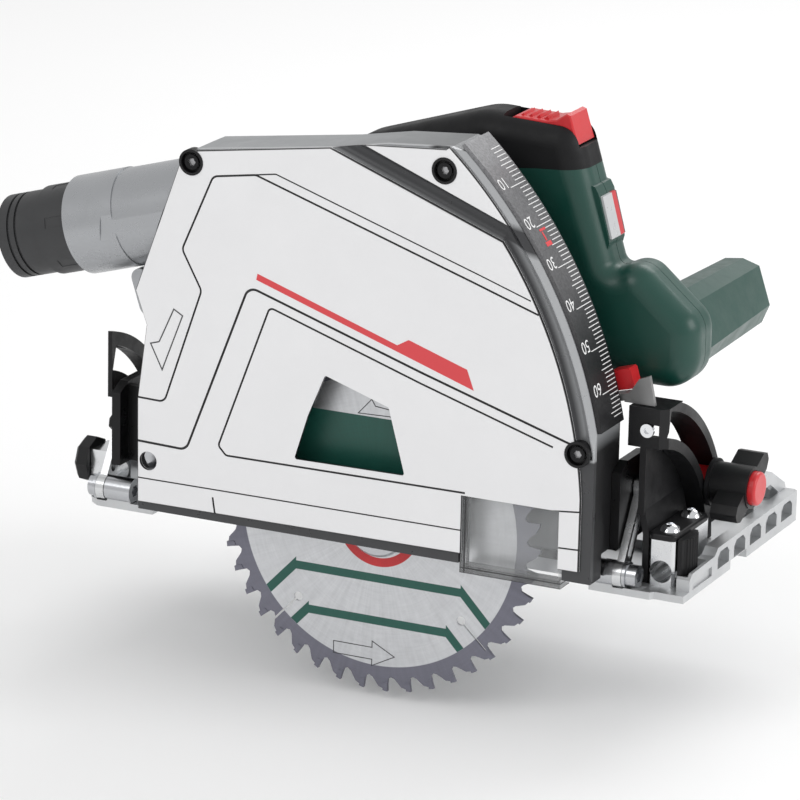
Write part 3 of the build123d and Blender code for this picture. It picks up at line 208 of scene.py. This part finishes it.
def around_window(t):
    """1 in and round the window of the cover, where painted shade goes."""
    x, y, z = t.axes()
    return t.math("MULTIPLY", t.band(x, -0.046, 0.026), t.band(z, 0.0440, 0.0925))


def cover_colour(t):
    """White, with dark engraved seams and painted shade on the window's walls."""
    x, y, z = t.axes()
    # Painted shade: the cover's walls in and round the window are painted near black.
    painted_window_shade = t.math("MULTIPLY", t.between(y, PANEL_Y + 0.00055, PANEL_Y + 0.0007), around_window(t))
    deep = t.band(y, PANEL_Y + 0.0003, PANEL_Y + 0.0017, 0.0001)
    dark = t.math("MAXIMUM", painted_window_shade, deep)
    return t.mix(dark, (0.85, 0.85, 0.86), (0.012, 0.012, 0.013))


def rim_colour(t):
    """Metal paint with painted shade in the hollow beside the raised panels and below the last screw, low
    down and round the window.
    """
    x, y, z = t.axes()
    radius = radius_from(t, *PIVOT)
    # Painted shade in the hollow along the panel's curved edge and in the diagonal valley.
    painted_arc_shade = t.math("MULTIPLY", t.between(radius, PANEL_R - 0.002, PANEL_R + 0.0005),
                 t.between(radius, PANEL_R + 0.0012, PANEL_R + 0.0064, 1.0, 0.0))
    painted_valley_shade = t.band(line_distance(t, (-0.020, 0.200), (0.060, 0.1694)), -0.0042, 0.0042, 0.0012)
    above = t.math("GREATER_THAN", line_distance(t, (-0.025, 0.197), (0.066, 0.163)), -0.002)
    dark = t.math("MAXIMUM", painted_arc_shade, t.math("MULTIPLY", painted_valley_shade, above))
    # Painted shade low down on the rim.
    low = t.between(z, 0.0655, 0.0665, 1.0, 0.0)
    colour = t.mix(dark, (0.42, 0.43, 0.44), (0.050, 0.051, 0.054))
    colour = t.mix(low, colour, (0.060, 0.061, 0.064))
    # Painted shade round the window.
    return t.mix(around_window(t), colour, (0.008, 0.008, 0.009))


def case_colour(t):
    """Metal paint on the guard's back and top, with painted shade near black low down at the front and along
    the bottom.
    """
    x, y, z = t.axes()
    front = t.between(x, 0.086, 0.092)
    low = t.between(z, 0.070, 0.078, 1.0, 0.0)
    under = t.between(z, 0.012, 0.0135, 1.0, 0.0)
    top = t.between(x, -0.03, 0.04)
    high = t.between(z, 0.14, 0.16)
    colour = t.mix(t.math("MULTIPLY", top, high), (0.30, 0.31, 0.32), (0.16, 0.165, 0.17))
    # Painted shade: near black low down at the front and along the bottom.
    return t.mix(t.math("MAXIMUM", t.math("MULTIPLY", front, low), under), colour, (0.012, 0.012, 0.013))


def blade_colour(t):
    """Ground steel with a darker toothed rim and printed bands."""
    radius = radius_from(t, 0.0, ARBOR_Z)
    grind = t.noise(70.0, 6.0, 0.7, t.stretched((2.0, 2.0, 2.0)))
    steel = t.mix(grind, (0.60, 0.61, 0.63), (0.80, 0.81, 0.83))
    rim = t.band(radius, *TOOTH_BAND)
    colour = t.mix(rim, steel, (0.20, 0.20, 0.245))
    printed = blade_print(t, radius)
    colour = t.mix(printed, colour, (0.012, 0.10, 0.075))
    ring = t.band(radius, *RING)
    return t.mix(ring, colour, (0.62, 0.03, 0.035))


def blade_print(t, radius):
    """Two angled bands below the arbor and a filled field above it."""
    total = None
    for level, half in ((-0.0130, 0.0425), (-0.0338, 0.0355)):
        x, y, z = t.axes()
        inner = t.math("LESS_THAN", t.math("ABSOLUTE", x), half)
        flat = t.math("MULTIPLY", t.band(z, level, level + 0.0041), inner)
        slope = t.math("MULTIPLY_ADD", t.math("SUBTRACT", t.math("ABSOLUTE", x), half), 1.06, z)
        arms = t.math("MULTIPLY", t.band(slope, level, level + 0.0060), t.math("SUBTRACT", 1.0, inner))
        part = t.math("MAXIMUM", flat, arms)
        total = part if total is None else t.math("MAXIMUM", total, part)
    x, y, z = t.axes()
    field = t.band(z, 0.0400, 0.0670)
    total = t.math("MAXIMUM", total, field)
    return t.math("MULTIPLY", total, t.math("LESS_THAN", radius, TOOTH_BAND[0]))


def scale_colour(t):
    """Dark printed metal with painted light that makes it paler towards the top of the scale."""
    x, y, z = t.axes()
    flecks = t.noise(700.0, 4.0, 0.75)
    # Painted light: paler towards the top, darker low down.
    pale = t.between(z, 0.110, 0.205, 0.0, 1.0)
    shade = t.mix(pale, (0.022, 0.022, 0.024), (0.30, 0.30, 0.31))
    spotted = t.mix(t.between(flecks, 0.35, 0.65), (0.6, 0.6, 0.6), (1.0, 1.0, 1.0))
    return t.mix(1.0, shade, spotted, "MULTIPLY")


def screw_colour(t):
    """Black heads with the bottom of the six-lobe recess worn bright."""
    x, y, z = t.axes()
    recess = t.between(y, SCREW_FACE + 0.0008, SCREW_FACE + 0.0011)
    return t.mix(recess, (0.020, 0.020, 0.021), (0.45, 0.45, 0.46))


def badge_colour(t):
    """A pale plate with a plain red strip along its far side."""
    x, y, z = t.axes()
    strip = t.band(y, 0.0515, 0.0560, 0.0001)
    border = t.math("GREATER_THAN", y, 0.0560)
    colour = t.mix(strip, (0.56, 0.57, 0.58), (0.62, 0.02, 0.03))
    return t.mix(border, colour, (0.02, 0.02, 0.022))


def make_blade_material():
    t = Tree("ground_steel")
    radius = radius_from(t, 0.0, ARBOR_Z)
    x, y, z = t.axes()
    turn = t.math("ARCTAN2", t.math("SUBTRACT", z, ARBOR_Z), x)
    combine = t.add("ShaderNodeCombineXYZ")
    t.link(t.math("MULTIPLY", radius, 900.0), combine.inputs[0])
    t.link(t.math("MULTIPLY", turn, 3.0), combine.inputs[1])
    rings = t.noise(1.0, 4.0, 0.7, combine.outputs[0])
    streak = t.add("ShaderNodeCombineXYZ")
    t.link(t.math("MULTIPLY", radius, 30.0), streak.inputs[0])
    t.link(t.math("MULTIPLY", turn, 26.0), streak.inputs[1])
    sheen = t.noise(1.0, 3.0, 0.6, streak.outputs[0])
    shade = t.between(t.math("MULTIPLY_ADD", rings, 0.5, t.math("MULTIPLY", sheen, 0.5)), 0.3, 0.7, 0.8, 1.0)
    grey = t.mix(shade, (0.0, 0.0, 0.0), (1.0, 1.0, 1.0))
    t.colour(t.mix(1.0, blade_colour(t), grey, "MULTIPLY"))
    printed = t.math("MAXIMUM", blade_print(t, radius), t.band(radius, *RING))
    rim = t.band(radius, *TOOTH_BAND)
    duller = t.math("MAXIMUM", t.math("MULTIPLY", printed, 0.85), t.math("MULTIPLY", rim, 0.35))
    t.link(t.math("SUBTRACT", 0.85, duller), t.shader.inputs["Metallic"])
    t.link(t.between(rings, 0.3, 0.7, 0.32, 0.46), t.shader.inputs["Roughness"])
    t.bump(rings, 0.35, 0.00004)
    return t.material


# ---------- mesh helpers ----------

def mesh_object(name, points, faces, material, body):
    data = bpy.data.meshes.new(name)
    data.from_pydata([tuple(p) for p in points], [], faces)
    data.update()
    piece = bpy.data.objects.new(name, data)
    scene.collection.objects.link(piece)
    data.materials.append(material)
    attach(piece, body)
    return piece


def prism(points, y0, y1):
    """Corner points in X and Z, made into a thin plate from y0 to y1."""
    count = len(points)
    corners = [(x, y0, z) for x, z in points] + [(x, y1, z) for x, z in points]
    faces = [tuple(range(count)), tuple(reversed(range(count, 2 * count)))]
    for i in range(count):
        j = (i + 1) % count
        faces.append((i, i + count, j + count, j))
    return corners, faces


def on_scale(angle, y, lift=0.00012):
    """A point on the curved scale."""
    radius = SCALE_R + lift
    return (PIVOT[0] + radius * math.cos(angle), y, PIVOT[1] + radius * math.sin(angle))


def depth_angle(depth_mm):
    """Where the pointer stands on the scale at a depth."""
    return math.radians(20.6) + math.asin((FULL_DEPTH - depth_mm / 1000.0) / ARBOR_REACH)


def scale_patch(points, faces, a0, a1, y0, y1, lift=0.00012):
    """Adds a thin raised patch on the scale between two angles and two widths."""
    start = len(points)
    for a, y in ((a0, y0), (a1, y0), (a1, y1), (a0, y1)):
        points.append(on_scale(a, y, 0.0))
    for a, y in ((a0, y0), (a1, y0), (a1, y1), (a0, y1)):
        points.append(on_scale(a, y, lift))
    faces.append((start + 4, start + 5, start + 6, start + 7))
    for i in range(4):
        j = (i + 1) % 4
        faces.append((start + i, start + j, start + 4 + j, start + 4 + i))


def text_outline(text, size):
    """The filled outline of a word, as flat points and faces."""
    curve = bpy.data.curves.new("numeral", "FONT")
    curve.body = text
    curve.size = size
    curve.align_x = "CENTER"
    curve.align_y = "CENTER"
    curve.resolution_u = 3
    holder = bpy.data.objects.new("numeral", curve)
    scene.collection.objects.link(holder)
    bpy.context.view_layer.update()
    data = bpy.data.meshes.new_from_object(holder.evaluated_get(bpy.context.evaluated_depsgraph_get()))
    points = [v.co.copy() for v in data.vertices]
    faces = [tuple(p.vertices) for p in data.polygons]
    bpy.data.objects.remove(holder)
    bpy.data.curves.remove(curve)
    bpy.data.meshes.remove(data)
    return points, faces


def depth_marks(material):
    """Millimetre ticks and the numbers of each ten."""
    points, faces = [], []
    half = 0.0002 / SCALE_R
    for depth in range(1, 67):
        angle = depth_angle(depth)
        length = 0.0160 if depth % 10 == 0 else 0.0112 if depth % 5 == 0 else 0.0088
        scale_patch(points, faces, angle - half, angle + half, 0.0146 - length, 0.0146)
    for depth in range(10, 61, 10):
        flat, polygons = text_outline(str(depth), 0.0082)
        start = len(points)
        angle = depth_angle(depth) + 0.0034 / SCALE_R
        for p in flat:
            points.append(on_scale(angle - p.y / SCALE_R, -0.0056 - p.x, 0.00012))
        for polygon in polygons:
            faces.append(tuple(start + i for i in polygon))
    return mesh_object("depth_marks", points, faces, material, "tilt_frame")


def scale_flag(material):
    """The small red mark on the scale between 20 and 25."""
    points, faces = [], []
    middle = depth_angle(22.5)
    # Each patch: its place along and across the scale, and its half sizes along and across.
    patches = ((0, 0, 0.0022, 0.0006), (0.0032, 0.0014, 0.0006, 0.003), (-0.0038, 0.0006, 0.0011, 0.0028))
    for da, dy, wa, wy in patches:
        a = middle + da / SCALE_R
        scale_patch(points, faces, a - wa / SCALE_R, a + wa / SCALE_R, 0.001 + dy - wy, 0.001 + dy + wy)
    return mesh_object("scale_flag", points, faces, material, "tilt_frame")


def stripe(material):
    """The red stripe on the cover, which widens into a plain tab at the front."""
    outline = [(-0.0575, 0.1317), (-0.0581, 0.1287), (0.0531, 0.0918), (0.0495, 0.1012), (0.0200, 0.1110),
               (0.0143, 0.1077)]
    points, faces = prism(outline, PANEL_Y - INK, PANEL_Y + 0.0001)
    return mesh_object("cover_stripe", points, faces, material, "tilt_frame")


def outline_arrow(name, outline, width, y, material, body):
    """A closed line drawn round an arrow's outline."""
    points, faces = [], []
    count = len(outline)
    middle = Vector((sum(p[0] for p in outline) / count, sum(p[1] for p in outline) / count))
    inner = []
    for i in range(count):
        a, b, c = (Vector(outline[k % count]) for k in (i - 1, i, i + 1))
        n1 = (b - a).normalized()
        n2 = (c - b).normalized()
        left = Vector((-n1.y - n2.y, n1.x + n2.x)).normalized()
        spread = width / max(0.35, left.dot(Vector((-n1.y, n1.x))))
        inner.append(b + left * spread)
    for p in list(map(Vector, outline)) + inner:
        points.append((p.x, y, p.y))
    for p in list(map(Vector, outline)) + inner:
        points.append((p.x, y + 0.0002, p.y))
    for i in range(count):
        j = (i + 1) % count
        faces.append((i, j, count + j, count + i))
        faces.append((i, 2 * count + i, 2 * count + j, j))
        faces.append((count + i, count + j, 3 * count + j, 3 * count + i))
    return mesh_object(name, points, faces, material, body)


# ---------- finishes ----------

# The values after each colour: roughness, metal, mottle, roughness spread, grain scale and grain depth.
white = finish_of("satin_white_cover", None, 0.34, 0.0, 0.03, 0.05, 1600.0, 0.000012, coat=0.15,
                  base=cover_colour)
rim = finish_of("silver_rim", None, 0.30, 0.35, 0.04, 0.05, 1500.0, 0.000012, base=rim_colour)
case = finish_of("cast_guard_paint", None, 0.36, 0.35, 0.06, 0.06, 1100.0, 0.00003, base=case_colour)
scale = finish_of("scale_strip", None, 0.36, 0.3, 0.10, 0.08, 2200.0, 0.00002, base=scale_colour)
black_metal = finish_of("blackened_steel", (0.020, 0.020, 0.021), 0.32, 0.6, 0.2, 0.08, 1200.0, 0.00003,
                        gloss=0.3)
screw_head = finish_of("cover_screw_steel", None, 0.30, 0.7, 0.2, 0.08, 1200.0, 0.00003, gloss=0.3,
                       base=screw_colour)
satin_steel = finish_of("satin_sheet_steel", (0.30, 0.30, 0.30), 0.36, 0.85, 0.1, 0.08, 1100.0, 0.00002)
nozzle_grey = finish_of("moulded_dark_grey", (0.036, 0.037, 0.039), 0.48, 0.0, 0.2, 0.08, 1500.0, 0.00005)
cast = finish_of("bright_casting", (0.60, 0.61, 0.62), 0.38, 0.85, 0.12, 0.10, 900.0, 0.00005)
bright = finish_of("machined_aluminium", (0.74, 0.75, 0.76), 0.24, 1.0, 0.08, 0.08, 700.0, 0.00002,
                   streaks=(1.0, 0.12, 1.0))
steel = finish_of("turned_steel", (0.55, 0.56, 0.58), 0.26, 1.0, 0.10, 0.08, 800.0, 0.00002,
                  streaks=(0.1, 1.0, 1.0))
chrome = finish_of("polished_chrome", (0.80, 0.81, 0.83), 0.10, 1.0, 0.05, 0.04, 600.0, 0.00001)
black = finish_of("moulded_black", (0.009, 0.009, 0.010), 0.44, 0.0, 0.25, 0.10, 1500.0, 0.00005, gloss=0.3)
soft = finish_of("soft_grip_black", (0.008, 0.008, 0.009), 0.55, 0.0, 0.2, 0.10, 2600.0, 0.00008, gloss=0.25)
green = finish_of("moulded_green", (0.004, 0.055, 0.040), 0.40, 0.0, 0.12, 0.08, 1700.0, 0.00005, coat=0.1)
red = finish_of("moulded_red", (0.62, 0.018, 0.024), 0.34, 0.0, 0.10, 0.06, 1500.0, 0.00003, coat=0.2)
silver = finish_of("duct_silver_paint", (0.40, 0.41, 0.425), 0.28, 0.6, 0.05, 0.06, 1900.0, 0.00002)
core = finish_of("laminated_core", (0.28, 0.26, 0.25), 0.45, 0.9, 0.2, 0.1, 900.0, 0.00008,
                 streaks=(1.0, 9.0, 1.0))
badge = finish_of("badge_face", None, 0.30, 0.1, 0.05, 0.05, 1500.0, 0.00001, coat=0.2, base=badge_colour)
ink_white = finish_of("white_ink", (0.82, 0.82, 0.82), 0.5, 0.0, 0.05, 0.05, 1500.0, 0.00001)
ink_red = finish_of("red_ink", (0.72, 0.06, 0.07), 0.4, 0.0, 0.05, 0.05, 1500.0, 0.00001)
ink_dark = finish_of("dark_ink", (0.05, 0.05, 0.055), 0.5, 0.0, 0.05, 0.05, 1500.0, 0.00001)
blade = make_blade_material()


def clear_material():
    """Clear plastic: see-through sheet with a faint tint, bright glancing reflections and painted shade along
    its sides and ends.
    """
    t = Tree("clear_guard")
    smudge = t.noise(60.0, 4.0, 0.6)
    t.link(t.between(smudge, 0.35, 0.7, 0.06, 0.16), t.shader.inputs["Roughness"])
    t.shader.inputs["IOR"].default_value = 1.49
    t.bump(t.noise(300.0, 2.0, 0.5), 0.2, 0.00002)
    glance = t.add("ShaderNodeLayerWeight")
    glance.inputs["Blend"].default_value = 0.35
    scratch = t.noise(260.0, 5.0, 0.7, t.stretched((1.0, 1.0, 0.15)))
    edge_on = t.math("MULTIPLY", glance.outputs["Facing"], 0.8)
    body = t.math("ADD", t.between(scratch, 0.4, 0.8, 0.04, 0.10), edge_on, clamp=True)
    x, y, z = t.axes()
    # Painted shade: dark, less see-through lines along the sheet's sides and ends.
    sides = t.math("MAXIMUM", t.band(x, 0.0490, 0.0499, 0.0001), t.band(z, 0.0056, 0.0064, 0.0001))
    ends = t.math("MAXIMUM", t.band(x, 0.0468, 0.0476, 0.0001), t.band(z, 0.0030, 0.0039, 0.0001))
    painted_edge_shade = t.math("MAXIMUM", sides, ends)
    body = t.math("MAXIMUM", body, t.math("MULTIPLY", painted_edge_shade, 0.85))
    t.colour(t.mix(painted_edge_shade, (0.86, 0.88, 0.89), (0.03, 0.03, 0.032)))
    see_through = t.add("ShaderNodeBsdfTransparent")
    both = t.add("ShaderNodeMixShader")
    t.link(body, both.inputs[0])
    t.link(see_through.outputs[0], both.inputs[1])
    t.link(t.shader.outputs[0], both.inputs[2])
    t.link(both.outputs[0], t.out.inputs["Surface"])
    return t.material


clear = clear_material()

paint(["guard_cover", "corner_panel"], white)
paint(["guard_rim"], rim)
paint(["guard_case"], case)
paint(["depth_scale"], scale)
paint(["base_plate"], cast)
paint(["front_bevel_arm", "rear_bevel_arm", "rod_clamp_blocks"], bright)
paint(["depth_stop"], satin_steel)
paint(["front_tilt_plate", "rear_tilt_plate"], black_metal)
paint(["arm_pivot_pins", "bevel_bolts", "plunge_shaft", "return_spring",
       "blade_flanges", "blade_bolt", "arbor", "arbor_bearing", "shaft_bearings", "layshaft",
       "layshaft_bearings", "motor_rotor"], steel)
paint(["quadrant_screw", "rod_clamp_screws"], chrome)
paint(["front_quadrant", "rear_quadrant", "rod_clamp_cap", "front_rod_knob", "rear_rod_knob",
       "front_rail_adjuster", "rear_rail_adjuster", "front_bevel_knob", "rear_bevel_knob", "screw_wells",
       "cooling_fan", "motor_end_cap", "trigger", "battery_pack"], black)
paint(["cover_screws"], screw_head)
paint(["bayonet_ring", "dust_nozzle"], nozzle_grey)
paint(["grip_cover"], soft)
paint(["motor_housing", "handle_shell_near", "handle_shell_far"], green)
paint(["bevel_shoes", "undercut_button", "depth_stop_button", "lock_off_slider", "battery_latch"], red)
paint(["badge_plate"], badge)
paint(["dust_duct"], silver)
paint(["motor_stator"], core)
paint(["gearbox_case", "gear_plate", "motor_flange"], cast)
paint(["saw_blade"], blade)
paint(["chip_guard"], clear)

depth_marks(ink_white)
scale_flag(ink_red)
stripe(ink_red)
outline_arrow("cover_arrow", [(-0.0966, 0.1060), (-0.1068, 0.0793), (-0.1125, 0.0904), (-0.1082, 0.0917),
                              (-0.1007, 0.1083)],
              0.0006, PANEL_Y - INK, ink_dark, "tilt_frame")
outline_arrow("blade_arrow_upper", [(0.060, 0.0600), (0.0045, 0.0686), (-0.0112, 0.0681), (-0.0049, 0.0751),
                                    (-0.0030, 0.0722), (0.060, 0.0660)],
              0.0004, BLADE_FACE, ink_dark, "blade_spindle")
outline_arrow("blade_arrow", [(-0.022, -0.0455), (-0.002, -0.0455), (-0.002, -0.0425), (0.009, -0.0482),
                              (-0.002, -0.0540), (-0.002, -0.0510), (-0.022, -0.0510)],
              0.0004, BLADE_FACE, ink_dark, "blade_spindle")


# ---------- floor, light and camera ----------

def make_floor():
    level = cad_box[0][2] - 0.004
    data = bpy.data.meshes.new("studio_floor")
    data.from_pydata([(-6, -6, level), (6, -6, level), (6, 6, level), (-6, 6, level)], [], [(0, 1, 2, 3)])
    floor = bpy.data.objects.new("studio_floor", data)
    scene.collection.objects.link(floor)
    t = Tree("pale_floor")
    t.colour(t.mix(t.noise(3.0), (0.94, 0.94, 0.94), (0.96, 0.96, 0.96)))
    t.shader.inputs["Roughness"].default_value = 0.85
    data.materials.append(t.material)


def area_light(name, place, target, size, power):
    data = bpy.data.lights.new(name, "AREA")
    data.shape = "RECTANGLE"
    data.size, data.size_y = size
    data.energy = power
    light = bpy.data.objects.new(name, data)
    scene.collection.objects.link(light)
    light.location = place
    light.rotation_euler = (Vector(target) - Vector(place)).to_track_quat("-Z", "Y").to_euler()


def make_camera():
    azimuth, elevation, roll = math.radians(25.21), math.radians(16.66), math.radians(1.25)
    back = Vector((math.sin(azimuth) * math.cos(elevation), -math.cos(azimuth) * math.cos(elevation),
                   math.sin(elevation)))
    level = Vector((math.cos(azimuth), math.sin(azimuth), 0.0))
    rise = back.cross(level)
    right = math.cos(roll) * level + math.sin(roll) * rise
    up = math.cos(roll) * rise - math.sin(roll) * level
    data = bpy.data.cameras.new("camera")
    data.lens = 225.0
    data.sensor_width = 36.0
    data.clip_end = 50.0
    camera = bpy.data.objects.new("camera", data)
    scene.collection.objects.link(camera)
    matrix = Matrix((right, up, back)).transposed().to_4x4()
    matrix.translation = (0.9477, -1.9935, 0.7364)
    camera.matrix_world = matrix
    scene.camera = camera


make_floor()
make_camera()
world = bpy.data.worlds.new("studio")
scene.world = world
world.use_nodes = True
world.node_tree.nodes["Background"].inputs[0].default_value = (1.0, 1.0, 1.0, 1.0)
world.node_tree.nodes["Background"].inputs[1].default_value = 0.72
area_light("key", (-0.7, -1.6, 1.5), (0, 0, 0.08), (1.0, 1.0), 7.0)
area_light("fill", (2.0, 0.2, 1.0), (0.05, 0.05, 0.1), (1.2, 0.9), 15.0)
area_light("back", (0.2, 1.5, 1.5), (0, 0.05, 0.1), (1.4, 0.8), 12.0)
scene.view_settings.view_transform = "Standard"
